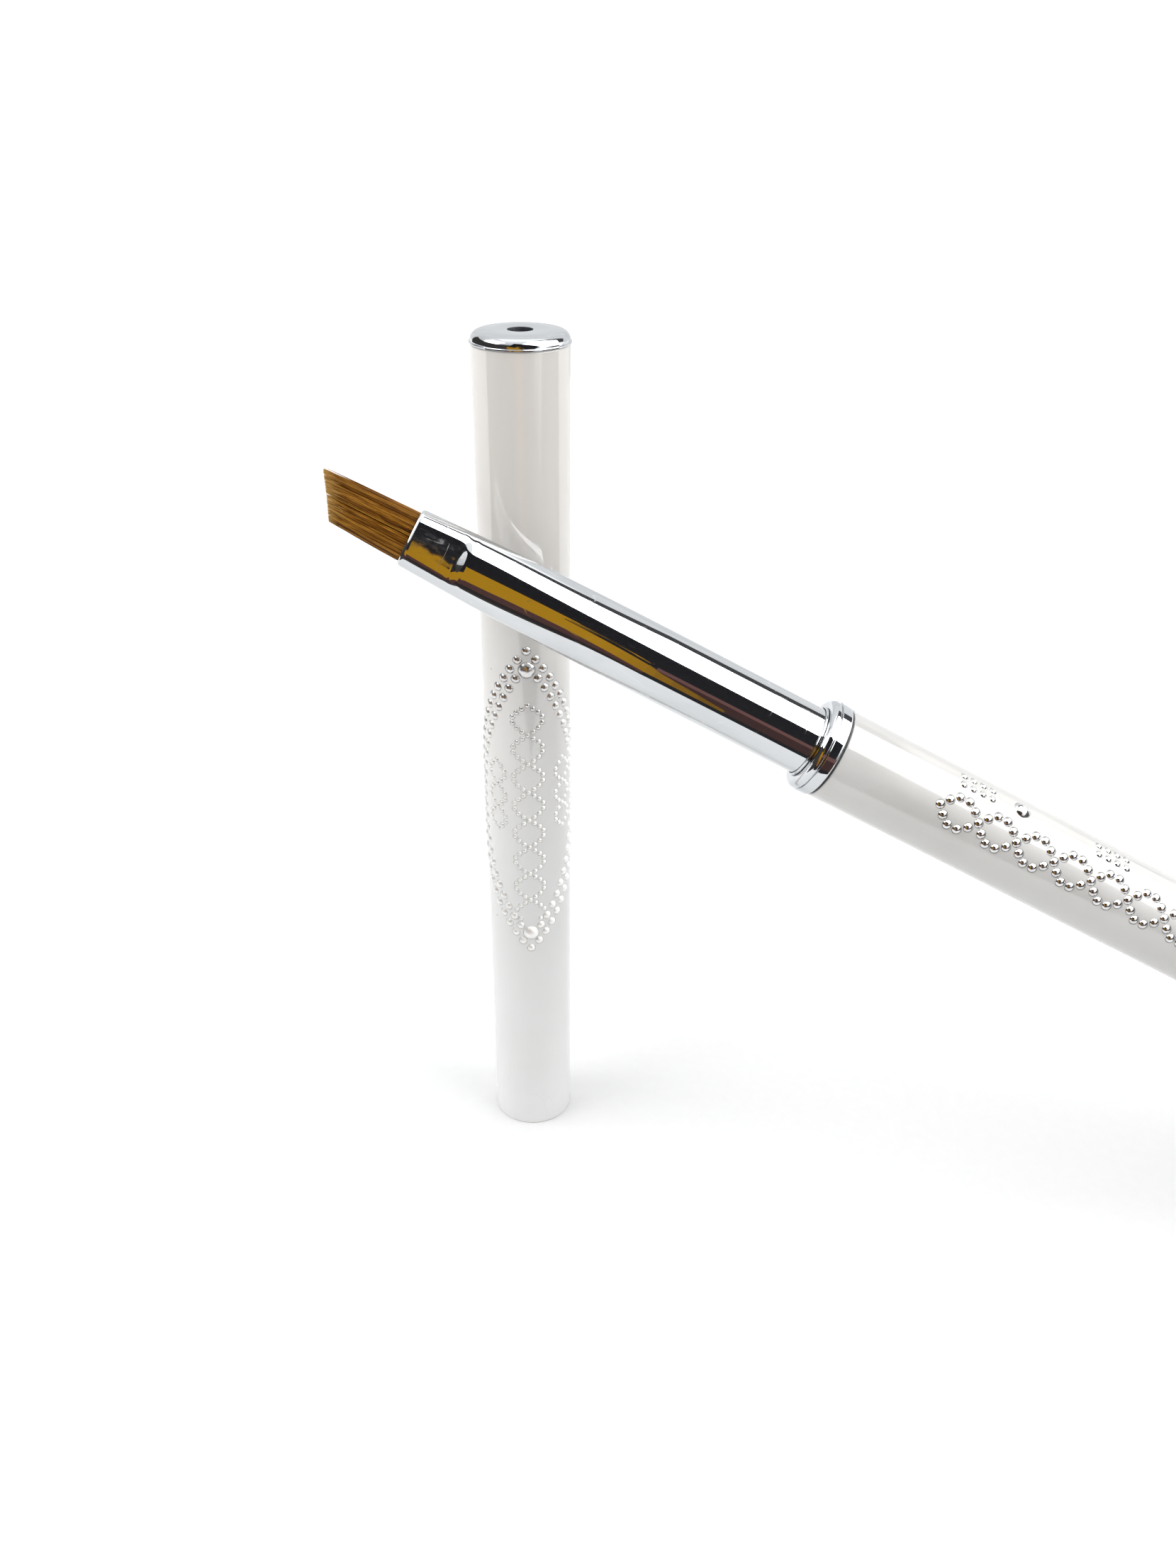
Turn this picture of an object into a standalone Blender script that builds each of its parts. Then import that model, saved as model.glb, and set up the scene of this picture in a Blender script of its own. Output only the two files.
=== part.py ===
"""A nail brush with its pull-off cap.

The cap stands on its open mouth. The brush leans past it: the rim of the handle's end rests on the
table and the ferrule crosses in front of the cap, tip uppermost.

Both are turned about their own axes. The cap's profiles are heights over its mouth. The brush's
profiles are places along its axis, from 0 at the collar's rear face: the tip is at negative places
and the handle at positive ones.
"""

import math

import bmesh
import bpy

MM = 0.001
FACETS = 32  # round every turned piece, so that nested pieces share their facets
SLIDE_GAP = 0.05 * MM  # between pieces that are pressed or glued into each other

# Tubes
TUBE_R = 4.0 * MM
CAP_BORE_R = 3.5 * MM
HANDLE_BORE_R = 3.65 * MM
LIP = 0.08 * MM  # chamfer on a tube's open end

# Cap, heights over its mouth
CAP_TUBE_TOP = 79.7 * MM
CAP_LINER_FOOT = 0.6 * MM
CAP_LINER_TOP = 66.0 * MM
CAP_LINER_R = 3.25 * MM

# End plugs in the cap's top and the handle's end, heights over their seats
PLUG_R = 4.107 * MM
PLUG_DOME = 0.9 * MM
PLUG_EDGE_R = 0.75 * MM
PLUG_VENT_R = 1.02 * MM
PLUG_VENT_LIP = 0.15 * MM
PLUG_SPIGOT_R = 2.95 * MM
PLUG_SPIGOT = 11.5 * MM
PLUG_HOLLOW_R = 2.5 * MM  # the handle's plug is bored out this wide behind its face
BUSH_BORE_R = 3.0 * MM
BUSH_DEPTH = 13.0 * MM
BUSH_FLOOR = 1.0 * MM
BUSH_VENT_R = 0.6 * MM

# Collar and the rings beside it, places along the brush
COLLAR_R = 4.13 * MM
COLLAR_BAND = 1.0 * MM
COLLAR_BEAD = 0.75 * MM
COLLAR_BEAD_R = 4.05 * MM
COLLAR_EDGE_R = 0.5 * MM
COLLAR_BORE_R = 3.1 * MM
COLLAR_SPIGOT = 6.0 * MM
STOP_RING_R = 3.2 * MM
STOP_RING_LENGTH = 0.2 * MM
GASKET_LENGTH = 0.1 * MM

# Handle, places along the brush
HANDLE_TUBE_END = 101.5 * MM
HANDLE_LINER_END = 24.0 * MM

# Ferrule, places along the brush
FERRULE_R = 3.0 * MM
FERRULE_WALL = 0.25 * MM
FERRULE_MOUTH = -38.7 * MM
FERRULE_TAIL = 12.0 * MM
PRESS_START = -16.0 * MM  # the tube is round behind this
PRESS_FLAT = -33.5 * MM  # and pressed to its full flatness ahead of this
MOUTH_HALF_WIDTH = 2.45 * MM
MOUTH_HALF_DEPTH = 1.3 * MM
PRESS_RINGS = 9

# Hair, its binding and its glue, places along the brush
HAIR_ROOT = -30.0 * MM
HAIR_TIP = -46.0 * MM
HAIR_TIP_HALF_WIDTH = 1.75 * MM
HAIR_TIP_HALF_DEPTH = 0.45 * MM
HAIR_TIP_SLOPE = 0.62  # the tip is cut across at this slope
HAIR_FIT = 0.1 * MM  # between the hair and the ferrule's wall
HAIR_RINGS = 5
THREAD_FRONT = -34.5 * MM
THREAD_REAR = -31.5 * MM
THREAD_DEPTH = 0.35 * MM
GLUE_REAR = -14.0 * MM
DOWEL_REAR = 16.0 * MM

# How the brush leans past the standing cap
TILT = math.radians(26.28)  # the axis falls this far towards the handle's end
ROLL = math.radians(-28.0)  # the ferrule's flat face turns up from the front by this much
COLLAR_FROM_CAP_X = 26.7 * MM
BRUSH_IN_FRONT = 7.7 * MM

WHITE = ((0.86, 0.86, 0.85), 0.2, 0.0)
CHROME = ((0.80, 0.81, 0.83), 0.08, 1.0)
YELLOW_BRASS = ((0.75, 0.55, 0.25), 0.3, 1.0)
NATURAL_PLASTIC = ((0.72, 0.72, 0.70), 0.5, 0.0)
HAIR = ((0.30, 0.14, 0.05), 0.5, 0.0)
THREAD = ((0.55, 0.45, 0.30), 0.8, 0.0)
EPOXY = ((0.50, 0.34, 0.12), 0.3, 0.0)
BEECH = ((0.60, 0.42, 0.24), 0.6, 0.0)
BLACK_RUBBER = ((0.03, 0.03, 0.03), 0.6, 0.0)


def clear_scene():
    for obj in list(bpy.data.objects):
        bpy.data.objects.remove(obj, do_unlink=True)


def material(name, look):
    colour, roughness, metallic = look
    made = bpy.data.materials.new(name)
    made.use_nodes = True
    shader = made.node_tree.nodes["Principled BSDF"]
    shader.inputs["Base Color"].default_value = (*colour, 1.0)
    shader.inputs["Roughness"].default_value = roughness
    shader.inputs["Metallic"].default_value = metallic
    made.diffuse_color = (*colour, 1.0)
    return made


def arc(centre_r, centre_h, radius, start, end, steps):
    """Points of a profile's rounded edge, from the angle start to end, in degrees from outward."""
    angles = [math.radians(start + (end - start) * i / steps) for i in range(steps + 1)]
    return [(centre_r + radius * math.cos(a), centre_h + radius * math.sin(a)) for a in angles]


def turned(name, look, profile, parent, ring=True):
    """A profile of (radius, height) turned about Z. It runs down the outer side, top to bottom."""
    mesh = bpy.data.meshes.new(name)
    edges = [(i, i + 1) for i in range(len(profile) - 1)]
    if ring:
        edges.append((len(profile) - 1, 0))
    mesh.from_pydata([(radius, 0.0, height) for radius, height in profile], edges, [])
    obj = bpy.data.objects.new(name, mesh)
    parts.objects.link(obj)
    obj.parent = parent
    obj.data.materials.append(material(name, look))
    screw = obj.modifiers.new("turn", "SCREW")
    screw.axis = "Z"
    screw.angle = math.tau
    screw.steps = FACETS
    screw.render_steps = FACETS
    screw.use_merge_vertices = True
    screw.merge_threshold = 0.000001
    screw.use_smooth_shade = True
    return obj


def ease(share):
    """0 to 1 with level ends."""
    share = min(max(share, 0.0), 1.0)
    return share * share * (3.0 - 2.0 * share)


def half_width(place):
    """Half of the ferrule's width across its flat face."""
    share = min(max((PRESS_START - place) / (PRESS_START - FERRULE_MOUTH), 0.0), 1.0)
    return FERRULE_R - (FERRULE_R - MOUTH_HALF_WIDTH) * share**2


def half_depth(place):
    """Half of the ferrule's depth through its flat face."""
    share = ease((PRESS_START - place) / (PRESS_START - PRESS_FLAT))
    return FERRULE_R - (FERRULE_R - MOUTH_HALF_DEPTH) * share


def places(front, rear, rings):
    """Evenly spaced places from the rear to the front, the order in which a profile runs down."""
    return [rear + (front - rear) * i / rings for i in range(rings + 1)]


PRESSED = places(FERRULE_MOUTH, PRESS_START, PRESS_RINGS)


def pressed_between(front, rear):
    """The press's own stations inside a stretch, with the stretch's two ends."""
    inside = [place for place in PRESSED if front + SLIDE_GAP < place < rear - SLIDE_GAP]
    return [rear, *inside, front]


def pressed_point(angle, place, inset):
    """A round tube's point at this angle once the tube is pressed into a slot's outline."""
    width, depth = half_width(place), half_depth(place)
    arc_run = depth * math.pi / 2
    share = math.asin(min(abs(math.sin(angle)), 1.0)) / (math.pi / 2)
    run = share * (width - depth + arc_run)
    if run < arc_run:
        x = width - depth + (depth - inset) * math.cos(run / depth)
        y = (depth - inset) * math.sin(run / depth)
    else:
        x = width - depth - (run - arc_run)
        y = depth - inset
    return math.copysign(x, math.cos(angle)), math.copysign(y, math.sin(angle))


def press(obj):
    """Bake the turning, then press the round piece flat as the ferrule is, keeping its wall."""
    bpy.context.view_layer.update()
    baked = bpy.data.meshes.new_from_object(obj.evaluated_get(bpy.context.evaluated_depsgraph_get()))
    obj.modifiers.clear()
    obj.data = baked
    for vertex in baked.vertices:
        x, y, place = vertex.co
        radius = math.hypot(x, y)
        if radius > SLIDE_GAP:
            vertex.co.x, vertex.co.y = pressed_point(math.atan2(y, x), place, FERRULE_R - radius)
    baked.shade_smooth()
    return obj


def end_plug(name, seat, parent, hollow_r=PLUG_VENT_R):
    """A domed plug whose flange sits just over the height seat, with a vent hole through its face."""
    flange = seat + SLIDE_GAP
    top = flange + PLUG_DOME
    edge = arc(PLUG_R - PLUG_EDGE_R, top - PLUG_EDGE_R, PLUG_EDGE_R, 90, 0, 5)
    profile = [
        (PLUG_VENT_R + PLUG_VENT_LIP, top),
        *edge,
        (PLUG_R, flange),
        (PLUG_SPIGOT_R, flange),
        (PLUG_SPIGOT_R, seat - PLUG_SPIGOT),
        (hollow_r, seat - PLUG_SPIGOT),
    ]
    if hollow_r > PLUG_VENT_R:
        profile += [(hollow_r, flange), (PLUG_VENT_R, flange)]
    profile.append((PLUG_VENT_R, top - PLUG_VENT_LIP))
    return turned(name, CHROME, profile, parent)


def end_bush(name, seat, outer, parent):
    """The plastic cup that grips an end plug's spigot inside its tube."""
    top = seat - SLIDE_GAP
    foot = seat - BUSH_DEPTH
    profile = [
        (outer, top),
        (outer, foot),
        (BUSH_VENT_R, foot),
        (BUSH_VENT_R, foot + BUSH_FLOOR),
        (BUSH_BORE_R, foot + BUSH_FLOOR),
        (BUSH_BORE_R, top),
    ]
    return turned(name, NATURAL_PLASTIC, profile, parent)


def make_cap(axis):
    tube = [
        (TUBE_R, CAP_TUBE_TOP),
        (TUBE_R, LIP),
        (TUBE_R - LIP, 0.0),
        (CAP_BORE_R + LIP, 0.0),
        (CAP_BORE_R, LIP),
        (CAP_BORE_R, CAP_TUBE_TOP),
    ]
    turned("cap_tube", WHITE, tube, axis)
    liner_outer = CAP_BORE_R - SLIDE_GAP
    liner = [
        (liner_outer, CAP_LINER_TOP),
        (liner_outer, CAP_LINER_FOOT),
        (liner_outer - LIP, CAP_LINER_FOOT),
        (CAP_LINER_R, CAP_LINER_FOOT + 2 * LIP),
        (CAP_LINER_R, CAP_LINER_TOP),
    ]
    turned("cap_liner", YELLOW_BRASS, liner, axis)
    end_bush("cap_end_bush", CAP_TUBE_TOP, liner_outer, axis)
    end_plug("cap_end_plug", CAP_TUBE_TOP, axis)


def make_handle(axis):
    front = 2 * SLIDE_GAP + GASKET_LENGTH
    tube = [
        (TUBE_R, HANDLE_TUBE_END),
        (TUBE_R, front + LIP),
        (TUBE_R - LIP, front),
        (HANDLE_BORE_R, front),
        (HANDLE_BORE_R, HANDLE_TUBE_END),
    ]
    turned("handle_tube", WHITE, tube, axis)
    inner = HANDLE_BORE_R - SLIDE_GAP
    dowel_bore = FERRULE_R - FERRULE_WALL
    liner = [
        (inner, HANDLE_LINER_END),
        (inner, COLLAR_SPIGOT + SLIDE_GAP),
        (COLLAR_BORE_R, COLLAR_SPIGOT + SLIDE_GAP),
        (COLLAR_BORE_R, FERRULE_TAIL + SLIDE_GAP),
        (dowel_bore, FERRULE_TAIL + SLIDE_GAP),
        (dowel_bore, HANDLE_LINER_END),
    ]
    turned("handle_liner", NATURAL_PLASTIC, liner, axis)
    end_bush("handle_end_bush", HANDLE_TUBE_END, inner, axis)
    end_plug("handle_end_plug", HANDLE_TUBE_END, axis, PLUG_HOLLOW_R)


def make_collar(axis):
    spigot = HANDLE_BORE_R - SLIDE_GAP
    front = -COLLAR_BAND - COLLAR_BEAD
    edge = arc(COLLAR_BEAD_R - COLLAR_EDGE_R, front + COLLAR_EDGE_R, COLLAR_EDGE_R, 0, -90, 4)
    collar = [
        (spigot, COLLAR_SPIGOT),
        (spigot, 0.0),
        (COLLAR_R, 0.0),
        (COLLAR_R, -COLLAR_BAND),
        (COLLAR_BEAD_R, -COLLAR_BAND),
        *edge,
        (COLLAR_BORE_R, front),
        (COLLAR_BORE_R, COLLAR_SPIGOT),
    ]
    turned("collar", CHROME, collar, axis)
    gasket = [
        (TUBE_R - LIP, SLIDE_GAP + GASKET_LENGTH),
        (TUBE_R - LIP, SLIDE_GAP),
        (HANDLE_BORE_R, SLIDE_GAP),
        (HANDLE_BORE_R, SLIDE_GAP + GASKET_LENGTH),
    ]
    turned("collar_gasket", BLACK_RUBBER, gasket, axis)
    ring_rear = front - SLIDE_GAP
    ring_front = ring_rear - STOP_RING_LENGTH
    ring_bore = FERRULE_R + SLIDE_GAP
    stop_ring = [
        (STOP_RING_R, ring_rear),
        (STOP_RING_R, ring_front + SLIDE_GAP),
        (STOP_RING_R - SLIDE_GAP, ring_front),
        (ring_bore, ring_front),
        (ring_bore, ring_rear),
    ]
    turned("stop_ring", CHROME, stop_ring, axis)


def make_ferrule(axis):
    outer = [(FERRULE_R, place) for place in PRESSED]
    bore = FERRULE_R - FERRULE_WALL
    inner = [(bore, place) for place in reversed(PRESSED)]
    profile = [(FERRULE_R, FERRULE_TAIL), *outer, *inner, (bore, FERRULE_TAIL)]
    press(turned("ferrule", CHROME, profile, axis))


def make_ferrule_filling(axis):
    """The thread round the hair's root, the glue behind it, and the dowel that ties in the handle."""
    outer = FERRULE_R - FERRULE_WALL - HAIR_FIT
    stretch = pressed_between(THREAD_FRONT, THREAD_REAR)
    thread = [(outer, place) for place in stretch]
    thread += [(outer - THREAD_DEPTH, place) for place in reversed(stretch)]
    press(turned("tuft_thread", THREAD, thread, axis))

    glue_front = HAIR_ROOT + HAIR_FIT
    glue = [(outer, place) for place in pressed_between(glue_front, GLUE_REAR)]
    press(turned("tuft_glue", EPOXY, [(0.0, GLUE_REAR), *glue, (0.0, glue_front)], axis, ring=False))

    dowel_r = FERRULE_R - FERRULE_WALL - HAIR_FIT
    dowel_front = GLUE_REAR + HAIR_FIT
    dowel = [(0.0, DOWEL_REAR), (dowel_r, DOWEL_REAR), (dowel_r, dowel_front), (0.0, dowel_front)]
    turned("ferrule_dowel", BEECH, dowel, axis, ring=False)


def shape_tuft(obj):
    """Fan the free hair from the ferrule's mouth to its thin, slanting tip."""
    mouth_width = half_width(FERRULE_MOUTH) - FERRULE_WALL - HAIR_FIT
    mouth_depth = half_depth(FERRULE_MOUTH) - FERRULE_WALL - HAIR_FIT
    for vertex in obj.data.vertices:
        share = (FERRULE_MOUTH - vertex.co.z) / (FERRULE_MOUTH - HAIR_TIP)
        if share <= 0.0:
            continue
        vertex.co.x *= 1.0 + (HAIR_TIP_HALF_WIDTH / mouth_width - 1.0) * share
        vertex.co.y *= 1.0 + (HAIR_TIP_HALF_DEPTH / mouth_depth - 1.0) * share
        vertex.co.z += HAIR_TIP_SLOPE * share * vertex.co.x


def make_tuft(axis):
    outer = FERRULE_R - FERRULE_WALL - HAIR_FIT
    waist = outer - THREAD_DEPTH - HAIR_FIT
    root = [(waist, place) for place in pressed_between(THREAD_FRONT - HAIR_FIT, HAIR_ROOT)]
    front_stretch = pressed_between(FERRULE_MOUTH, THREAD_FRONT - 2 * HAIR_FIT)
    held = [(outer, place) for place in front_stretch]
    free = [(outer, place) for place in places(HAIR_TIP, FERRULE_MOUTH, HAIR_RINGS)[1:]]
    profile = [(0.0, HAIR_ROOT), *root, *held, *free, (0.0, HAIR_TIP)]
    tuft = press(turned("hair_tuft", HAIR, profile, axis, ring=False))
    shape_tuft(tuft)


def empty(name, location, turn, parent=None):
    made = bpy.data.objects.new(name, None)
    parts.objects.link(made)
    made.parent = parent
    made.location = location
    made.rotation_mode = "ZYX"
    made.rotation_euler = turn
    return made


def stand_on_origin(base):
    """Put the bottom centre of the whole object's box at the world's origin."""
    bpy.context.view_layer.update()
    graph = bpy.context.evaluated_depsgraph_get()
    corners = []
    for obj in parts.objects:
        if obj.type == "MESH":
            shown = obj.evaluated_get(graph)
            corners += [shown.matrix_world @ vertex.co for vertex in shown.data.vertices]
    xs, ys, zs = zip(*corners)
    base.location = (-(min(xs) + max(xs)) / 2, -(min(ys) + max(ys)) / 2, -min(zs))


clear_scene()
parts = bpy.data.collections.new("nail_brush")
bpy.context.scene.collection.children.link(parts)
table = empty("table", (0.0, 0.0, 0.0), (0.0, 0.0, 0.0))
cap_axis = empty("cap_axis", (0.0, 0.0, 0.0), (0.0, 0.0, 0.0), table)

# The rounded rim of the handle's end plug touches the table, which sets the collar's height.
rim_place = HANDLE_TUBE_END + SLIDE_GAP + PLUG_DOME - PLUG_EDGE_R
collar_height = rim_place * math.sin(TILT) + (PLUG_R - PLUG_EDGE_R) * math.cos(TILT) + PLUG_EDGE_R
collar_at = (COLLAR_FROM_CAP_X, -BRUSH_IN_FRONT, collar_height)
lean = empty("lean", collar_at, (0.0, math.pi / 2 + TILT, 0.0), table)
brush_axis = empty("brush_axis", (0.0, 0.0, 0.0), (0.0, 0.0, ROLL), lean)

make_cap(cap_axis)
make_tuft(brush_axis)
make_ferrule(brush_axis)
make_ferrule_filling(brush_axis)
make_collar(brush_axis)
make_handle(brush_axis)
stand_on_origin(table)
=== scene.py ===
"""The looks of a nail brush that leans past its standing cap.

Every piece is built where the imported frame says. The cap's own frame has its height as Z, and the
brush's own frame has its Z along the brush, 0 at the collar's rear face, tip at negative places.
Lengths inside the builders are millimetres; placed() turns them into the row frame's metres.
"""

import math

import bpy
import numpy as np
from mathutils import Matrix, Vector
from mathutils.geometry import delaunay_2d_cdt


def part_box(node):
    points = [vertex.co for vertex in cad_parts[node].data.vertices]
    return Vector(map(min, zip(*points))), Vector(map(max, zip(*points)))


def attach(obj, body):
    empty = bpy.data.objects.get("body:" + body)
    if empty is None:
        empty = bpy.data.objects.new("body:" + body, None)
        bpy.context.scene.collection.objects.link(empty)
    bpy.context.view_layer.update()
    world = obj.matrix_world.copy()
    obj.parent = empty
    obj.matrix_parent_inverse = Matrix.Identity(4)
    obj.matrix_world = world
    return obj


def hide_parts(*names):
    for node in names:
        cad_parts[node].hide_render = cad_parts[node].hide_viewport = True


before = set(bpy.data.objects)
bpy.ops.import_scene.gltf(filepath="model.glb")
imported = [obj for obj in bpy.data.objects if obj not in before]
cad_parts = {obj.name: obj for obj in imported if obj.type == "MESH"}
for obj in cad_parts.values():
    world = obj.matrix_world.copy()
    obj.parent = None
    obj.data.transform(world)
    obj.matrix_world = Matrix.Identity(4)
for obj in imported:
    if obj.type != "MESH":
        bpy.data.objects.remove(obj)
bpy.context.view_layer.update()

MM = 0.001
random = np.random.default_rng(8)


# Places, all taken from the frame


def middle(node):
    low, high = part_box(node)
    return (low + high) / 2


def nearest_rotation(along, across):
    """A frame whose Z is along, and whose X is as near across as can be."""
    side = along.cross(across).normalized()
    return Matrix((side.cross(along), side, along)).transposed()


def frame_at(origin, rotation):
    """A piece's own frame, in millimetres, as a matrix into the row frame's metres."""
    return Matrix.Translation(origin) @ rotation.to_4x4() @ Matrix.Scale(MM, 4)


def span(node, where):
    """A node's lowest and highest place along a frame's Z and its largest radius, in mm."""
    inverse = where.inverted()
    points = [inverse @ vertex.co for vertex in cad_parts[node].data.vertices]
    heights = [point.z for point in points]
    return min(heights), max(heights), max(math.hypot(point.x, point.y) for point in points)


cap_low, cap_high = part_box("cap_tube")
cap_foot = Vector((middle("cap_tube").x, middle("cap_tube").y, cap_low.z))
CAP = frame_at(cap_foot, Matrix.Identity(3))

ROLL = math.radians(28.0)  # the ferrule's flat face turns up from the front by this much
COLLAR_SPIGOT = 6.0  # the collar's reach into the handle
backward = Vector((0, 1, 0))
dowel, bush = middle("ferrule_dowel"), middle("handle_end_bush")
brush_way = (bush - dowel).normalized()
downhill = backward.cross(brush_way)
ferrule_wide = downhill * math.cos(ROLL) - backward * math.sin(ROLL)
brush_turn = nearest_rotation(brush_way, ferrule_wide)
collar_rear = span("collar", frame_at(dowel, brush_turn))[1] - COLLAR_SPIGOT
BRUSH = frame_at(dowel + brush_way * collar_rear * MM, brush_turn)

TUBE_R = (cap_high.x - cap_low.x) / 2 / MM
CAP_TOP = span("cap_tube", CAP)[1]
PLUG_R = span("cap_end_plug", CAP)[2]
COLLAR_FRONT, _, COLLAR_R = span("collar", BRUSH)
RING_FRONT, RING_REAR, RING_R = span("stop_ring", BRUSH)
GASKET_FRONT, GASKET_REAR, GASKET_R = span("collar_gasket", BRUSH)
HANDLE_FRONT, HANDLE_END, _ = span("handle_tube", BRUSH)
MOUTH, FERRULE_TAIL, FERRULE_R = span("ferrule", BRUSH)
PRESS_FLAT = -34.7  # the die flattened the ferrule ahead of this


# Meshes


SIDES = 128  # of every turned piece and of the ferrule
SHARP_EDGE = math.radians(40)


def placed(name, vertices, faces, where, materials, body, face_material=None, normals=None):
    """A piece from points in its own frame, baked into the row frame and riding on a body."""
    points = np.asarray(vertices, float)
    matrix = np.array(where)
    points = points @ matrix[:3, :3].T + matrix[:3, 3]
    mesh = bpy.data.meshes.new(name)
    mesh.from_pydata(points.tolist(), [], faces)
    for made in materials:
        mesh.materials.append(made)
    if face_material is not None:
        mesh.polygons.foreach_set("material_index", face_material)
    mesh.shade_smooth()
    if normals is None:
        mesh.set_sharp_from_angle(angle=SHARP_EDGE)
    else:
        turned = np.asarray(normals, float) @ (matrix[:3, :3].T / MM)
        mesh.normals_split_custom_set(turned.tolist())
    obj = bpy.data.objects.new(name, mesh)
    bpy.context.scene.collection.objects.link(obj)
    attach(obj, body)
    return obj


def outline(corners, steps=7):
    """A closed profile from (radius, height, fillet) corners, each fillet drawn as an arc."""
    points = []
    count = len(corners)
    for i, (r, h, fillet) in enumerate(corners):
        here = Vector((r, h))
        if not fillet:
            points.append((r, h))
            continue
        before = (Vector(corners[i - 1][:2]) - here).normalized()
        after = (Vector(corners[(i + 1) % count][:2]) - here).normalized()
        half = before.angle(after) / 2
        reach = fillet / math.tan(half)
        centre = here + (before + after).normalized() * fillet / math.sin(half)
        start, end = here + before * reach - centre, here + after * reach - centre
        sweep = math.atan2(start.x * end.y - start.y * end.x, start.dot(end))
        for step in range(steps + 1):
            turn = Matrix.Rotation(sweep * step / steps, 2)
            points.append(tuple(centre + turn @ start))
    return points


def ring_faces(rings, sides=SIDES):
    """Quads that join each ring of points to the next, and the last ring to the first."""
    faces = []
    for i in range(rings):
        j = (i + 1) % rings
        for k in range(sides):
            n = (k + 1) % sides
            faces.append((i * sides + k, j * sides + k, j * sides + n, i * sides + n))
    return faces


def lathe(profile):
    """Points and quads, facing out, of a closed profile of (radius, height) turned about Z."""
    angles = np.arange(SIDES) * math.tau / SIDES
    r, h = np.array(profile).T
    anticlockwise = np.dot(r, np.roll(h, -1)) > np.dot(h, np.roll(r, -1))
    if anticlockwise:
        r, h = r[::-1], h[::-1]
    heights = np.repeat(h[:, None], SIDES, 1)
    points = np.stack([np.outer(r, np.cos(angles)), np.outer(r, np.sin(angles)), heights], 2)
    return points.reshape(-1, 3), ring_faces(len(profile))


# Materials


class Nodes:
    """Short ways to add nodes to a tree."""

    def __init__(self, tree):
        self.tree = tree

    def put(self, socket, value):
        """Link a socket to an output, or give it a constant. A colour may leave its alpha out."""
        if isinstance(value, bpy.types.NodeSocket):
            self.tree.links.new(value, socket)
        elif socket.type == "RGBA" and len(value) == 3:
            socket.default_value = (*value, 1.0)
        else:
            socket.default_value = value

    def node(self, kind, inputs, output=0, **settings):
        new = self.tree.nodes.new("ShaderNode" + kind)
        for setting, value in settings.items():
            setattr(new, setting, value)
        for socket, value in inputs.items():
            self.put(new.inputs[socket], value)
        return new.outputs[output]

    def axis(self, vector, axis):
        return self.node("SeparateXYZ", {0: vector}, output=axis)

    def noise(self, at, scale, detail=3.0, rough=0.5, distort=0.0):
        inputs = {"Vector": at, "Scale": scale, "Detail": detail}
        return self.node("TexNoise", inputs | {"Roughness": rough, "Distortion": distort})

    def level(self, value, low, high, to_low=0.0, to_high=1.0, **settings):
        """A value's way from low to high, as 0 to 1 or as another range."""
        inputs = {"Value": value, "From Min": low, "From Max": high}
        return self.node("MapRange", inputs | {"To Min": to_low, "To Max": to_high}, **settings)

    def blend(self, share, colour, other):
        return self.node("Mix", {0: share, 6: colour, 7: other}, output=2, data_type="RGBA")

    def maths(self, operation, one, other=0.0):
        return self.node("Math", {0: one, 1: other}, operation=operation)

    def plus(self, one, other):
        return self.maths("ADD", one, other)

    def minus(self, one, other):
        return self.maths("SUBTRACT", one, other)

    def times(self, one, other):
        return self.maths("MULTIPLY", one, other)


class Look(Nodes):
    """A node material around one Principled shader."""

    def __init__(self, name, **constants):
        self.made = bpy.data.materials.new(name)
        self.made.use_nodes = True
        super().__init__(self.made.node_tree)
        self.shader = self.tree.nodes["Principled BSDF"]
        self.paint(**constants)

    def paint(self, **sockets):
        for socket, value in sockets.items():
            self.put(self.shader.inputs[socket.replace("_", " ")], value)
        return self.made

    def bump(self, height, distance, strength=1.0):
        inputs = {"Height": height, "Distance": distance * MM, "Strength": strength}
        self.paint(Normal=self.node("Bump", inputs))

    def local(self, where, stretch=(1, 1, 1)):
        """The surface's place in its own frame, in mm, stretched along each axis."""
        inputs = {
            "Vector": self.node("TexCoord", {}, output="Object"),
            "Location": where.translation,
            "Rotation": where.to_quaternion().to_euler(),
            "Scale": tuple(MM * s for s in stretch),
        }
        return self.node("Mapping", inputs, vector_type="TEXTURE")

    def scratches(self, where, ways, width):
        """Thin broken lines, 1 on a line. ways gives each set's stretch and how dense it is."""
        lines = 0.0
        for stretch, scale in ways:
            field = self.noise(self.local(where, stretch), scale, detail=0.0)
            gap = self.maths("ABSOLUTE", self.minus(field, 0.5))
            line = self.level(gap, 0.0, width, 1.0, 0.0)
            patch = self.level(self.noise(self.local(where), scale * 0.9), 0.5, 0.6)
            lines = self.maths("MAXIMUM", lines, self.times(line, patch))
        return lines

    def specks(self, where, scale, size, share):
        """Small round spots in a share of the cells: 1 on a spot."""
        distance = self.node("TexVoronoi", {"Vector": self.local(where), "Scale": scale})
        chosen = self.node("SeparateColor", {"Color": distance.node.outputs["Color"]})
        spot = self.level(distance, size * 0.7, size, 1.0, 0.0)
        return self.times(spot, self.maths("LESS_THAN", chosen, share))


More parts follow.
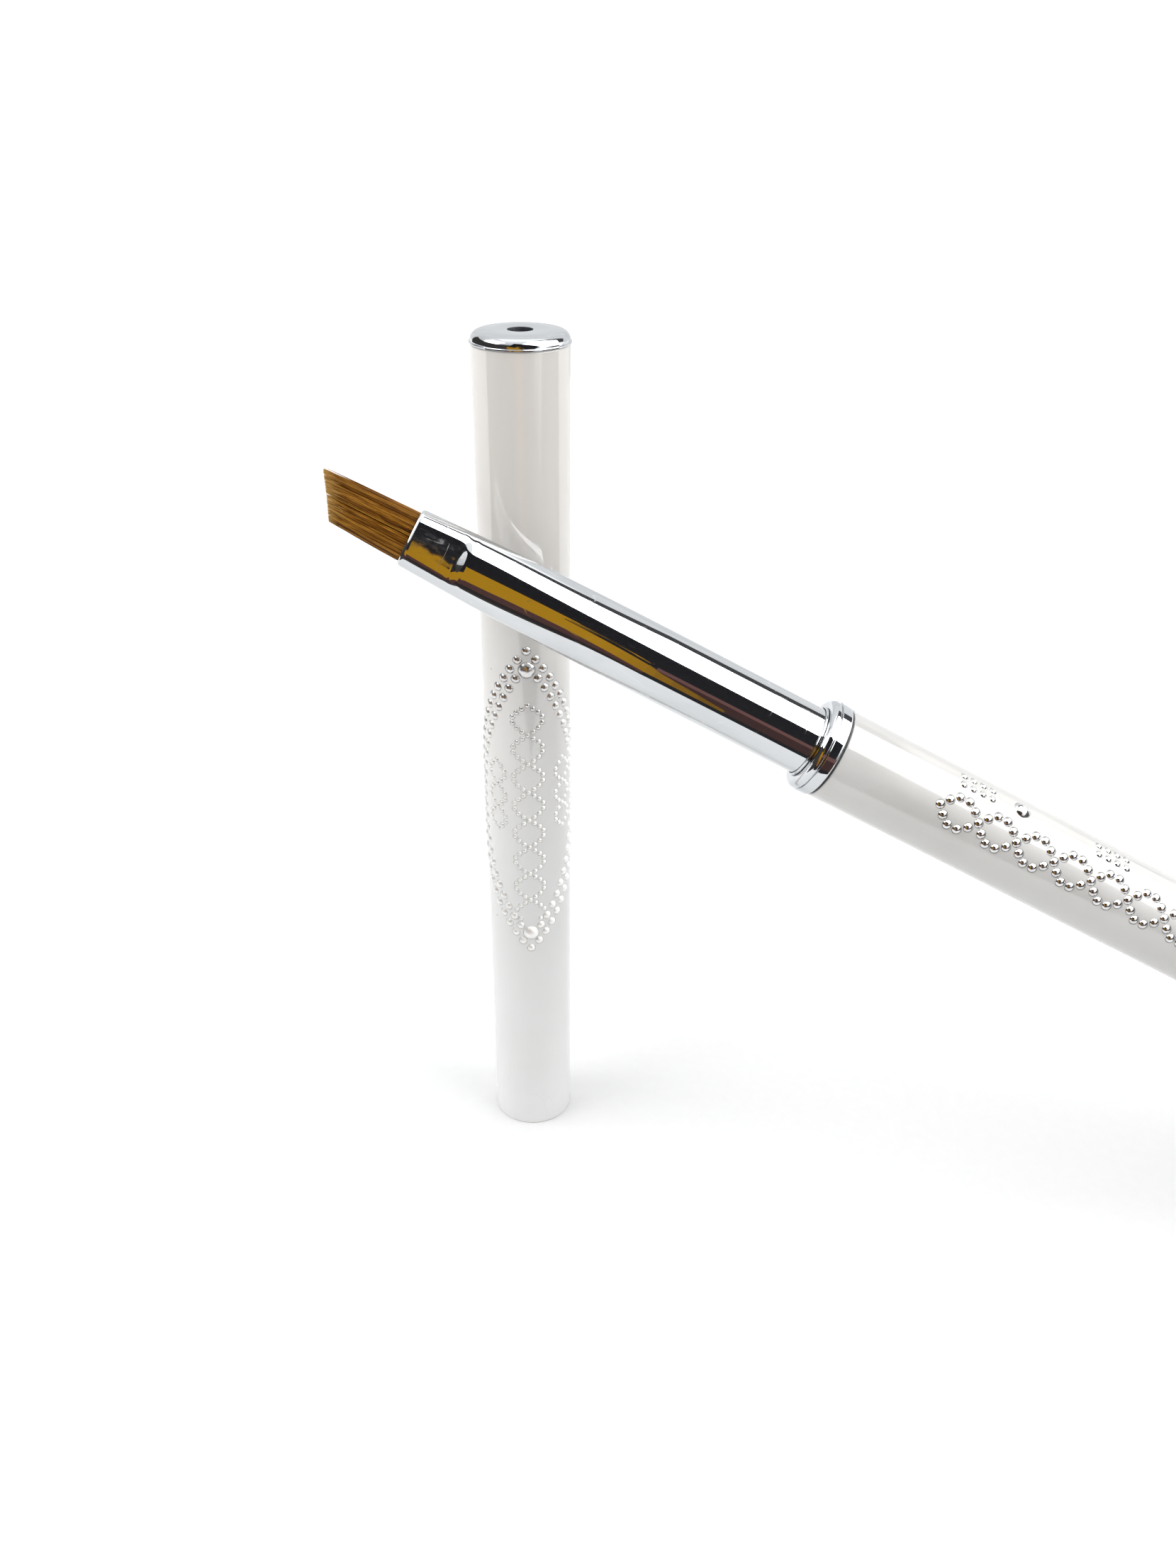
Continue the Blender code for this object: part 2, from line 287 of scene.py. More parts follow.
def lacquer(name, where, shade, light, coat, painted_shade=()):
    """Glossy white lacquer: faint mottling, orange peel, a few hairline scratches and dust specks.

    coat is how rough its clear coat is. The last argument lists stretches along the tube, low to high, and
    the colour that each one ends in: painted shade, darker where less light falls on the lacquer.
    """
    look = Look(name, Coat_Weight=1.0, Coat_Roughness=coat, Coat_IOR=1.75, Specular_IOR_Level=0.1)
    at = look.local(where)
    cloud = look.level(look.noise(at, 0.12, detail=4), 0.35, 0.65)
    colour = look.blend(cloud, shade, light)
    # Painted shade: along the tube the lacquer turns to each stretch's darker colour.
    for low, high, tone in painted_shade:
        colour = look.blend(look.level(look.axis(at, "Z"), low, high), colour, tone)

    scratch_tone, dust_tone = (0.62, 0.61, 0.60), (0.28, 0.22, 0.18)
    lines = look.scratches(where, [((1, 1.3, 9), 0.35), ((9, 1, 2.5), 0.3)], width=0.004)
    colour = look.blend(look.times(lines, 0.25), colour, scratch_tone)
    colour = look.blend(look.specks(where, 0.35, 0.035, 0.10), colour, dust_tone)

    peel = look.noise(at, 1.6, detail=2)
    look.bump(look.minus(peel, look.times(lines, 0.4)), 0.01, 0.5)
    rough = look.plus(look.level(cloud, 0, 1, 0.35, 0.5), look.times(lines, 0.15))
    return look.paint(Base_Color=colour, Roughness=rough)


def stud_metal(name, where, roughness, painted_pale_span=None):
    """The bright metal of the raised studs, a little orange-peeled, and below a given stretch rougher and
    painted paler, a painted reflection of the pale floor.
    """
    look = Look(name, Metallic=1.0)
    at = look.local(where)
    cloud = look.noise(at, 1.5, detail=3)
    colour = look.blend(look.level(cloud, 0.35, 0.65), (0.60, 0.59, 0.58), (0.76, 0.76, 0.765))
    look.bump(look.noise(at, 7.0, detail=2), 0.01, 0.3)
    rough = look.level(cloud, 0.3, 0.7, *roughness)
    if painted_pale_span:
        # Painted reflection: the lower studs are painted paler, as if they mirrored the pale floor, and
        # made rougher.
        painted_pale_and_dull = look.level(look.axis(at, "Z"), *painted_pale_span)
        rough = look.plus(rough, look.times(painted_pale_and_dull, 0.3))
        colour = look.blend(painted_pale_and_dull, colour, (0.88, 0.88, 0.87))
    return look.paint(Base_Color=colour, Roughness=rough)


def plating(name, where, light, dark):
    """Bright plating with wiped smudges, fine scratches and pits.

    Returns its look with its colour, roughness and relief, which aren't connected yet.
    """
    look = Look(name, Metallic=1.0)
    wiped = look.noise(look.local(where, (1, 1, 3)), 0.35, detail=5, distort=0.6)
    smudge = look.level(wiped, 0.45, 0.7)
    lines = look.scratches(where, [((1, 1, 12), 0.6), ((5, 1, 2), 0.5)], width=0.006)
    marks = look.maths("MAXIMUM", lines, look.specks(where, 1.4, 0.05, 0.12))
    colour = look.blend(smudge, light, dark)
    colour = look.blend(look.times(marks, 0.35), colour, (0.9, 0.9, 0.9))
    rough = look.plus(look.level(smudge, 0, 1, 0.022, 0.065), look.times(marks, 0.22))
    waver = look.noise(look.local(where), 0.25, detail=1)
    relief = look.minus(waver, look.times(marks, 0.05))
    return look, colour, rough, relief


def finish_plating(look, colour, rough, relief):
    look.bump(relief, 0.02, 0.3)
    return look.paint(Base_Color=colour, Roughness=rough)


def chrome(name, where, light, dark):
    return finish_plating(*plating(name, where, light, dark))


def pressed_plating(name):
    """The ferrule's plating. The face that the die pressed is rougher, with painted glints near its end."""
    half_face, front, rear = 1.1, MOUTH, PRESS_FLAT
    look, colour, rough, relief = plating(name, BRUSH, (0.63, 0.645, 0.66), (0.56, 0.575, 0.59))
    at = look.local(BRUSH)
    place = look.axis(at, "Z")
    across = look.maths("ABSOLUTE", look.axis(at, "X"))
    face = look.times(
        look.level(across, half_face - 0.35, half_face + 0.15, 1.0, 0.0),
        look.level(place, rear, rear + 0.7, 1.0, 0.0),
    )
    face = look.times(face, look.level(place, front, front + 0.4))

    fine = look.noise(look.local(BRUSH, (0.6, 0.6, 1.8)), 2.6, detail=5, rough=0.6)
    rough = look.plus(rough, look.times(face, look.level(fine, 0.4, 0.65, 0.04, 0.14)))
    relief = look.plus(relief, look.times(look.times(fine, face), 0.5))

    # Painted highlight: spots near the pressed face's end are painted nearly white.
    painted_glint = look.noise(look.local(BRUSH, (1, 1, 1.5)), 5.0, detail=3)
    near_end = look.level(place, rear - 0.6, rear + 0.2)
    painted_glint = look.level(look.times(painted_glint, near_end), 0.5, 0.58)
    colour = look.blend(look.times(painted_glint, face), colour, (0.95, 0.94, 0.9))
    return finish_plating(look, colour, rough, relief)


def hair(name):
    """Golden brown hair. Each strand has a shade of its own, and pales towards its tip."""
    dark, brown = (0.04, 0.012, 0.001), (0.165, 0.062, 0.005)
    gold, pale = (0.38, 0.18, 0.024), (0.55, 0.33, 0.10)
    look = Look(name, IOR=1.5, Specular_IOR_Level=0.12, Anisotropic=0.5)
    shade = look.node("Attribute", {}, output="Fac", attribute_name="shade")
    run = look.node("Attribute", {}, output="Fac", attribute_name="run")
    streak = look.noise(look.local(BRUSH, (1, 1, 14)), 6.0, detail=2)
    tone = look.plus(shade, look.level(streak, 0.3, 0.7, -0.25, 0.25))
    colour = look.blend(look.level(tone, 0.0, 0.5), dark, brown)
    colour = look.blend(look.level(tone, 0.5, 1.0), colour, gold)
    colour = look.blend(look.level(run, 0.9, 1.0, 0.0, 0.8), colour, pale)
    look.bump(look.noise(look.local(BRUSH, (1, 1, 0.4)), 14.0, detail=1), 0.004, 0.3)
    return look.paint(Base_Color=colour, Roughness=look.level(streak, 0.3, 0.7, 0.3, 0.5))


def plain(name, where, colours, roughness, grain=(1, 1, 1), scale=1.0, bump=0.01, metallic=0.0):
    """A mottled or grained surface: plastic, rubber, wood, thread, glue or brass."""
    look = Look(name, Metallic=metallic)
    field = look.noise(look.local(where, grain), scale, detail=4, distort=0.3)
    colour = look.blend(look.level(field, 0.3, 0.7), *colours)
    look.bump(field, bump, 0.5)
    return look.paint(Base_Color=colour, Roughness=look.level(field, 0.3, 0.7, *roughness))


# The dotted ornament: places on an unrolled tube, (round, along), in mm


LARGE_DOT = 0.74  # radius of a big stud at its rim
DOT_SLOPE = math.radians(52)  # how steep a stud's dome is at its rim
DOT_GROOVE = 0.045  # the narrow ring pressed into the lacquer round a stud
GROOVE_SLOPE = 0.75
DOT_SIDES, LARGE_DOT_SIDES = 20, 36
DOME_RINGS = (1.0, 0.93, 0.83, 0.7, 0.54, 0.37, 0.18)  # shares of a stud's radius

TUBE_SIDES, ROW_HEIGHT, TUBE_LIP = 96, 1.2, 0.12
GRID_CLEARANCE = 0.06  # between a stud's groove and the skin's own points
LACQUERED, BRIGHT, GROOVE = 0, 1, 2  # a tube's material slots


def dots_along(curve, pitch, parts=1, steps=400):
    """Evenly spaced places on a curve given for 0 to 1, with one at each end of its equal parts."""
    fine = np.array([curve(i / steps) for i in range(steps + 1)])
    run = np.concatenate([[0.0], np.cumsum(np.hypot(*np.diff(fine, axis=0).T))])
    stops = np.linspace(0.0, run[-1], max(round(run[-1] / pitch / parts), 1) * parts + 1)
    return [(np.interp(s, run, fine[:, 0]), np.interp(s, run, fine[:, 1])) for s in stops]


class Ornament:
    """Studs that keep clear of each other: (round, along, radius)."""

    def __init__(self):
        self.dots = []

    def add(self, places, radius):
        for u, v in places:
            if all(math.hypot(u - x, v - y) > (radius + r) * 1.04 + 0.05 for x, y, r in self.dots):
                self.dots.append((u, v, radius))

    def braid(self, centre, low, high, half_width, waves, radius, pitch):
        """Two interlaced waves."""
        for sign in (1, -1):
            def wave(t, sign=sign):
                swing = math.sin(math.tau * waves * t) * half_width
                return centre + sign * swing, low + (high - low) * t
            self.add(dots_along(wave, pitch, round(waves * 2)), radius)

    def pointed_oval(self, middle_v, half_width, half_height, radius, pitch, inset=0.0, ends=0.0):
        """Two bowed rows that meet in points.

        A row can be set in, and stop short of the points by a share of the way at both ends.
        """
        for sign in (1, -1):
            def side(t, sign=sign):
                t = ends + (1 - 2 * ends) * t
                swell = max(math.sin(math.pi * t), 0.0) ** 0.85
                return sign * (half_width * swell - inset), middle_v + half_height * (1 - 2 * t)
            self.add(dots_along(side, pitch), radius)


def dome(radius, shares):
    """A stud's rings: (radius, height, slope) from its rim to its top."""
    ball = radius / math.sin(DOT_SLOPE)
    foot = ball * math.cos(DOT_SLOPE)
    rings = []
    for share in shares:
        r = radius * share
        rings.append((r, math.sqrt(ball**2 - r**2) - foot, r / ball))
    return rings


class Skin:
    """The faces of a tube, wrapped from the unrolled tube, with a normal at each corner.

    facing is the angle round the tube of the unrolled tube's middle line.
    """

    def __init__(self, facing):
        self.facing = facing
        self.points, self.normals = [], []
        self.faces, self.kinds, self.face_normals = [], [], []

    def point(self, u, v, r=TUBE_R, way=(1.0, 0.0, 0.0)):
        """Add a point, and its normal's parts outward, round and along the tube."""
        angle = self.facing + u / TUBE_R
        outward = np.array((math.cos(angle), math.sin(angle), 0.0))
        around = np.array((-math.sin(angle), math.cos(angle), 0.0))
        self.points.append(outward * r + (0, 0, v))
        self.normals.append(outward * way[0] + around * way[1] + (0, 0, way[2]))
        return len(self.points) - 1

    def face(self, corners, kind, normals_of=None):
        self.faces.append(tuple(corners))
        self.kinds.append(kind)
        self.face_normals.extend(self.normals[i] for i in normals_of or corners)

    def join(self, outer, inner, kind, normals_of=None):
        """Quads between two rings, with their own normals or with those of one ring."""
        outer_like, inner_like = normals_of or outer, normals_of or inner
        for k in range(len(outer)):
            n = (k + 1) % len(outer)
            like = (outer_like[k], outer_like[n], inner_like[n], inner_like[k])
            self.face((outer[k], outer[n], inner[n], inner[k]), kind, like)

    def stud(self, u, v, radius, rim):
        """A groove inside a ring of the skin's points, and a dome inside the groove."""
        turns = [math.tau * k / len(rim) for k in range(len(rim))]
        ways = [(math.cos(turn), math.sin(turn)) for turn in turns]

        def ring(r, height, slope):
            rise = math.sqrt(1 - slope**2)
            numbers = []
            for c, s in ways:
                lean = (rise, c * slope, s * slope)
                numbers.append(self.point(u + r * c, v + r * s, TUBE_R + height, lean))
            return numbers

        floor = ring(radius + DOT_GROOVE * 0.4, -DOT_GROOVE, -GROOVE_SLOPE)
        rings = [ring(*values) for values in dome(radius, DOME_RINGS)]
        self.join(rim, floor, GROOVE, normals_of=floor)
        self.join(floor, rings[0], BRIGHT, normals_of=rings[0])
        for outer, inner in zip(rings, rings[1:]):
            self.join(outer, inner, BRIGHT)
        top_height = dome(radius, [0.0])[0][1]
        top = self.point(u, v, TUBE_R + top_height)
        last = rings[-1]
        for k in range(len(last)):
            self.face((last[k], last[(k + 1) % len(last)], top), BRIGHT)

    def bore(self, r, foot, top, columns, bottom_row, top_row):
        """The lips and the bore, which close the body from the skin's bottom row to its top row."""
        corners = [(TUBE_R, foot), (r, foot), (r, top), (TUBE_R, top)]
        profile = [Vector(place) for place in outline([(*corner, TUBE_LIP) for corner in corners], 5)]
        ways = [Vector((a.y - b.y, b.x - a.x)).normalized() for a, b in zip(profile, profile[1:])]
        rings = [bottom_row]
        for place, before, after in zip(profile[1:-1], ways, ways[1:]):
            way = (before + after).normalized()
            rings.append([self.point(u, place.y, place.x, (way.x, 0.0, way.y)) for u in columns])
        rings.append(top_row)
        for lower, upper in zip(rings, rings[1:]):
            self.join(upper, lower, LACQUERED)

    def used(self):
        """The points that have faces, and the faces in their numbers."""
        numbers = sorted({i for corners in self.faces for i in corners})
        renumber = {old: new for new, old in enumerate(numbers)}
        faces = [tuple(renumber[i] for i in corners) for corners in self.faces]
        return [self.points[i] for i in numbers], faces


def unrolled_mesh(columns, rows, dots):
    """The flat skin, meshed round its studs.

    Returns its places, its triangles, the ring of points round each stud, and its bottom and top rows.
    The last column is where the first one is on the tube, so faces take the first one's points.
    """
    centres = np.array([(u, v) for u, v, _ in dots])
    reaches = np.array([r for _, _, r in dots]) + DOT_GROOVE
    last_row, last_column = len(rows) - 1, len(columns) - 1
    places, number = [], {}
    for i, v in enumerate(rows):
        for k, u in enumerate(columns):
            on_edge = i in (0, last_row) or k in (0, last_column)
            distances = np.hypot(centres[:, 0] - u, centres[:, 1] - v)
            if on_edge or (distances > reaches + GRID_CLEARANCE).all():
                number[i, k] = len(places)
                places.append((u, v))

    rims = []
    for u, v, radius in dots:
        count = LARGE_DOT_SIDES if radius == LARGE_DOT else DOT_SIDES
        reach = radius + DOT_GROOVE
        rims.append(list(range(len(places), len(places) + count)))
        for step in range(count):
            angle = math.tau * step / count
            places.append((u + reach * math.cos(angle), v + reach * math.sin(angle)))

    edges = [edge for rim in rims for edge in zip(rim, rim[1:] + rim[:1])]
    result = delaunay_2d_cdt([Vector(place) for place in places], edges, [], 0, 1e-7)
    origin = [numbers[0] for numbers in result[3]]
    rim_of = {i: which for which, rim in enumerate(rims) for i in rim}
    seam = {number[i, last_column]: number[i, 0] for i in range(last_row + 1)}
    triangles = []
    for triangle in result[2]:
        corners = [origin[i] for i in triangle]
        rims_met = {rim_of.get(i) for i in corners}
        under_stud = len(rims_met) == 1 and None not in rims_met
        if not under_stud:
            triangles.append([seam.get(i, i) for i in corners])
    bottom_row, top_row = ([number[i, k] for k in range(last_column)] for i in (0, last_row))
    return places, triangles, rims, bottom_row, top_row


def studded_tube(name, node, body, where, facing, bore, foot, top, dots, materials):
    """A tube whose outer skin is unrolled, meshed round its studs, and wrapped again.

    facing is the angle round the tube of the ornament's middle. The skin's seam is opposite it.
    """
    low, high = foot + TUBE_LIP, top - TUBE_LIP
    round_way = math.tau * TUBE_R
    columns = np.linspace(-round_way / 2, round_way / 2, TUBE_SIDES + 1)
    rows = np.linspace(low, high, round((high - low) / ROW_HEIGHT) + 1)
    places, triangles, rims, bottom_row, top_row = unrolled_mesh(columns, rows, dots)
    skin = Skin(facing)
    for u, v in places:
        skin.point(u, v)
    for corners in triangles:
        skin.face(corners, LACQUERED)
    for (u, v, radius), rim in zip(dots, rims):
        skin.stud(u, v, radius, rim)
    skin.bore(bore, foot, top, columns[:-1], bottom_row, top_row)
    points, faces = skin.used()
    slot, kinds, normals = "white_lacquer", skin.kinds, skin.face_normals
    piece = placed(name, points, faces, where, materials, body, kinds, normals)
    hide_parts(node)


# Pieces


chrome_cap = chrome("cap_plug_chrome", CAP, (0.57, 0.585, 0.605), (0.51, 0.525, 0.55))
chrome_brush = chrome("collar_chrome", BRUSH, (0.63, 0.645, 0.665), (0.55, 0.57, 0.60))
# Painted shade: the vent's bore is painted near black, for the dark inside of the hole.
vent_shade_tones = ((0.012, 0.013, 0.02), (0.03, 0.032, 0.045))
vent_painted_shade = plain("vent_painted_shade", CAP, vent_shade_tones, (0.5, 0.8), scale=3)


def make_cap_tube():
    """A double pointed oval round the front, a braid down its middle and a short one at each side."""
    # Painted shade: the lacquer is palest at the foot, where light from the floor falls, greyer up to 26
    # mm, and darker and warmer above 30 mm.
    cap_painted_shade = ((3.0, 26.0, (0.61, 0.607, 0.60)), (30.0, 66.0, (0.585, 0.56, 0.53)))
    # The grooves round the studs are darker than the lacquer: grime and painted shade.
    groove_grime_and_shade = ((0.40, 0.395, 0.38), (0.52, 0.515, 0.50))
    materials = (
        lacquer("cap_lacquer", CAP, (0.705, 0.70, 0.695), (0.74, 0.74, 0.735), 0.07, cap_painted_shade),
        # The studs below 52 mm, fully below 44 mm, are painted paler: a painted reflection of the floor.
        stud_metal("cap_studs", CAP, (0.2, 0.3), (52.0, 44.0)),
        plain("cap_grooves", CAP, groove_grime_and_shade, (0.4, 0.6), scale=2),
    )
    ornament = Ornament()
    middle_v, half_height, half_width = 39.0, 15.8, 6.6
    border, border_pitch, fine, fine_pitch = 0.38, 1.18, 0.215, 0.6
    for end in (1, -1):
        ornament.add([(0.0, middle_v + end * (half_height - 1.8))], LARGE_DOT)
    ornament.pointed_oval(middle_v, half_width, half_height, border, border_pitch)
    ornament.pointed_oval(middle_v, half_width, half_height, border, border_pitch, inset=1.1, ends=0.084)
    ornament.braid(0.0, 25.9, 49.6, half_width=1.42, waves=4, radius=fine, pitch=fine_pitch)
    for centre in (-3.2, 3.6):
        ornament.braid(centre, 36.4, 43.6, half_width=0.95, waves=1.5, radius=fine, pitch=fine_pitch)
    facing, bore, foot = math.radians(-80.5), 3.5, 0.0
    studded_tube(
        "cap_tube_studded", "cap_tube", "cap", CAP, facing, bore, foot, CAP_TOP, ornament.dots, materials,
    )


def make_handle_tube():
    """A long braid that faces the front, with short double rows and big studs over it."""
    # The grooves round the studs are darker than the lacquer, darker still than the cap's to follow the
    # handle's painted shade: grime and painted shade.
    groove_grime_and_shade = ((0.20, 0.195, 0.185), (0.30, 0.295, 0.28))
    materials = (
        # Painted shade: the handle's white lacquer is painted greyer than the cap's, for the shade on its
        # lower half.
        lacquer("handle_lacquer_painted_shade", BRUSH, (0.495, 0.484, 0.467), (0.53, 0.52, 0.505), 0.12),
        stud_metal("handle_studs", BRUSH, (0.1, 0.18)),
        plain("handle_grooves", BRUSH, groove_grime_and_shade, (0.4, 0.6), scale=2),
    )
    ornament = Ornament()
    pitch = 0.93
    ornament.braid(0.0, 9.4, 65.0, half_width=1.38, waves=7.5, radius=0.385, pitch=pitch)
    over, first, step, groups = -3.05, 10.8, 13.4, 4
    for i in range(groups):
        at = first + i * step
        for row in (-0.48, 0.48):
            ornament.add([(over + row, at + k * pitch) for k in range(4)], 0.3)
        if i % 2 == 0:
            ornament.add([(over, at + 5.7)], LARGE_DOT)
    facing, bore = math.radians(-90), 3.65
    studded_tube(
        "handle_tube_studded", "handle_tube", "brush", BRUSH, facing, bore, HANDLE_FRONT, HANDLE_END,
        ornament.dots, materials,
    )


def turned_piece(name, node, body, where, corners, materials, steps=8, bore=0.0):
    """A turned body. Faces within the bore's radius take the second material."""
    points, faces = lathe(outline(corners, steps))
    wide = np.hypot(points[:, 0], points[:, 1])[np.array(faces)].max(1)
    kinds = (wide < bore).astype(int).tolist()
    piece = placed(name, points, faces, where, materials, body, kinds)
    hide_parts(node)


def make_end_plug(name, node, body, where, seat, bright):
    """A crowned plug: flat seat, rounded edge, a bevelled vent hole and a spigot."""
    top, dome_r = seat + 1.0, PLUG_R - 0.09
    vent_r, core_r, spigot_r, spigot_end = 1.02, 1.6, 2.95, seat - 11.4
    corners = [
        (vent_r, top, 0.04),
        (2.4, top, 0.9),
        (dome_r, top - 0.06, 0.72),
        (dome_r, seat + 0.2, 0.02),
        (PLUG_R, seat + 0.18, 0.05),
        (PLUG_R, seat + 0.03, 0.04),
        (spigot_r, seat + 0.03, 0.0),
        (spigot_r, spigot_end, 0.3),
        (core_r, spigot_end, 0.1),
        (core_r, seat - 1.0, 0.1),
        (vent_r, seat - 1.0, 0.05),
    ]
    # The faces inside the vent get the painted shade.
    turned_piece(name, node, body, where, corners, [bright, vent_painted_shade], bore=vent_r + 0.09)


def make_collar():
    """A rounded bead, a groove, and a slightly larger crowned band that butts on the tube."""
    bead_r, groove_r, spigot_r, bore = COLLAR_R - 0.06, COLLAR_R - 0.2, 3.6, 3.1
    corners = [
        (bore, COLLAR_FRONT, 0.08),
        (bead_r, COLLAR_FRONT, 0.52),
        (bead_r, -1.09, 0.06),
        (groove_r, -1.05, 0.02),
        (groove_r, -1.01, 0.02),
        (COLLAR_R, -0.96, 0.08),
        (COLLAR_R, 0.0, 0.16),
        (spigot_r, 0.0, 0.0),
        (spigot_r, COLLAR_SPIGOT, 0.2),
        (bore, COLLAR_SPIGOT, 0.1),
    ]
    turned_piece("collar_turned", "collar", "brush", BRUSH, corners, [chrome_brush])


def make_stop_ring():
    bore = 3.05
    corners = [
        (bore, RING_REAR, 0.0),
        (bore, RING_FRONT, 0.02),
        (RING_R, RING_FRONT, 0.1),
        (RING_R, RING_REAR, 0.02),
    ]
    turned_piece("stop_ring_turned", "stop_ring", "brush", BRUSH, corners, [chrome_brush], 5)


def make_gasket():
    tones = ((0.02, 0.02, 0.022), (0.05, 0.05, 0.052))
    rubber = plain("gasket_rubber", BRUSH, tones, (0.5, 0.75), scale=4)
    bore = 3.65
    corners = [
        (bore, GASKET_REAR, 0.0),
        (bore, GASKET_FRONT, 0.0),
        (GASKET_R, GASKET_FRONT, 0.05),
        (GASKET_R, GASKET_REAR, 0.05),
    ]
    turned_piece("gasket_turned", "collar_gasket", "brush", BRUSH, corners, [rubber], 4)


PRESS_START = -16.0  # the tube is round behind this
MOUTH_HALF_WIDTH, MOUTH_HALF_DEPTH, FERRULE_WALL = 2.45, 1.3, 0.25
STEP_DEPTH, STEP_LENGTH = 0.2, 1.1
FLAT_SHARE = 0.55  # how far the die took the section from an oval towards a slot's outline
LIP_DEPTH, LIP_LENGTH = 0.2, 0.32
DENTS = (  # where the die's corner bit: across, place, size and depth
    (0.2, -34.9, 0.45, 0.02),
    (-0.6, -35.1, 0.4, 0.02),
    (0.1, -36.4, 0.6, 0.012),
)


def ease(share):
    share = np.clip(share, 0.0, 1.0)
    return float(share * share * (3.0 - 2.0 * share))


def half_width(place):
    share = np.clip((PRESS_START - place) / (PRESS_START - MOUTH), 0.0, 1.0)
    return float(FERRULE_R - (FERRULE_R - MOUTH_HALF_WIDTH) * share**2)


def half_depth(place):
    """The die's flat ends in a short step, and the tube swells to round behind it."""
    swell = ease((PRESS_START - place) / (PRESS_START - PRESS_FLAT))
    step = ease((PRESS_FLAT + STEP_LENGTH - place) / STEP_LENGTH)
    deep = FERRULE_R - (FERRULE_R - MOUTH_HALF_DEPTH - STEP_DEPTH) * swell
    return deep - STEP_DEPTH * step


def pressed_ring(place, inset=0.0):
    """A ring of the pressed tube: a slot's outline where the die was, and an oval behind it."""
    width, depth = half_width(place), half_depth(place)
    angle = np.arange(SIDES) * math.tau / SIDES
    quarter = np.arcsin(np.minimum(np.abs(np.sin(angle)), 1.0))
    arc_run = depth * math.pi / 2
    flat_run = width - depth
    run = quarter / (math.pi / 2) * (flat_run + arc_run)
    on_arc = run < arc_run
    turn = np.minimum(run / depth, math.pi / 2)
    slot_x = np.where(on_arc, flat_run + (depth - inset) * np.cos(turn), flat_run - (run - arc_run))
    slot_y = np.where(on_arc, (depth - inset) * np.sin(turn), depth - inset)
    oval_x, oval_y = (width - inset) * np.cos(quarter), (depth - inset) * np.sin(quarter)
    die = FLAT_SHARE * ease((PRESS_FLAT + STEP_LENGTH * 1.2 - place) / (STEP_LENGTH * 1.4))
    x = np.copysign(oval_x + (slot_x - oval_x) * die, np.cos(angle))
    y = np.copysign(oval_y + (slot_y - oval_y) * die, np.sin(angle))
    return np.stack([x, y, np.full(SIDES, place)], 1)


def dented(points):
    for x, place, size, depth in DENTS:
        reach = ((points[:, 0] - x) ** 2 + (points[:, 2] - place) ** 2) / size**2
        points[:, 1] -= np.sign(points[:, 1]) * depth * np.exp(-2 * reach)
    return points


def make_ferrule():
    """From its tail in the handle along the outside, round the mouth's lip, and back down the bore."""
    behind = np.linspace(FERRULE_TAIL, PRESS_START, 24)[:-1]
    pressed = np.linspace(PRESS_START, MOUTH + LIP_LENGTH, 170)
    rings = [dented(pressed_ring(place)) for place in (*behind, *pressed)]
    for angle in np.linspace(0, math.pi / 2, 8)[1:]:
        inset = LIP_DEPTH * (1 - math.cos(angle))
        rings.append(pressed_ring(MOUTH + LIP_LENGTH * (1 - math.sin(angle)), inset))
    inner = np.linspace(MOUTH + 0.02, FERRULE_TAIL, 40)
    rings += [pressed_ring(place, FERRULE_WALL) for place in inner]
    points, faces = np.concatenate(rings), ring_faces(len(rings))
    made = pressed_plating("ferrule_plating")
    piece = placed("ferrule_pressed", points, faces, BRUSH, [made], "brush")
    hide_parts("ferrule")


STRANDS, STRAND_RINGS, STRAND_SIDES = 1700, 8, 4
STRAND_R = 0.047
TIP_LINE, TIP_SLOPE = -46.0, 0.62  # the cut: its place at the middle, and its slant
TIP_HALF_WIDTH, TIP_HALF_DEPTH = 1.72, 0.42


def strand_places(run):
    """Each strand's place across the tuft, and the middle and radius of each of its rings."""
    angle = random.uniform(0, math.tau, STRANDS)
    at_surface = random.random(STRANDS) < 0.6
    surface_layer = random.uniform(0.86, 1.0, STRANDS)
    layer = np.where(at_surface, surface_layer, random.random(STRANDS) ** 0.5)
    across = np.sign(np.cos(angle)) * np.abs(np.cos(angle)) ** 0.75 * layer
    through = np.sign(np.sin(angle)) * np.abs(np.sin(angle)) ** 0.9 * layer

    root = MOUTH + 2.0
    ragged = random.uniform(0.0, 1.0, STRANDS) ** 2.6 * 1.3
    end = TIP_LINE + TIP_SLOPE * (across * TIP_HALF_WIDTH) + ragged
    place = root + (end - root)[:, None] * run
    free = np.clip((MOUTH - place) / (MOUTH - TIP_LINE), 0.0, 1.1)

    clearance = FERRULE_WALL + 0.12
    width, depth = half_width(MOUTH) - clearance, half_depth(MOUTH) - clearance
    narrow = width + (TIP_HALF_WIDTH - width) * free**1.4
    thin = depth + (TIP_HALF_DEPTH - depth) * free**0.85
    sway = random.normal(0, 0.035, (STRANDS, 2, 1)) * free[:, None, :] ** 2
    bends = random.uniform(2, 6, (STRANDS, 1))
    wave = np.sin(run * bends + random.uniform(0, 6, (STRANDS, 1))) * 0.012
    x = across[:, None] * narrow + sway[:, 0] + wave * free
    y = through[:, None] * thin + sway[:, 1] + wave * free
    taper = 1.0 - 0.72 * np.clip(run * 1.08 - 0.08, 0, 1) ** 3
    radius = STRAND_R * taper * random.uniform(0.75, 1.2, (STRANDS, 1))
    return across, x, y, place, radius


def strand_faces():
    """Closed square tubes, one for each strand."""
    faces = []
    for strand in range(STRANDS):
        base = strand * STRAND_RINGS * STRAND_SIDES
        for i in range(STRAND_RINGS - 1):
            low = base + i * STRAND_SIDES
            high = low + STRAND_SIDES
            for k in range(STRAND_SIDES):
                n = (k + 1) % STRAND_SIDES
                faces.append((low + n, low + k, high + k, high + n))
        last = base + (STRAND_RINGS - 1) * STRAND_SIDES
        faces.append(tuple(base + k for k in range(STRAND_SIDES)))
        faces.append(tuple(last + k for k in reversed(range(STRAND_SIDES))))
    return faces


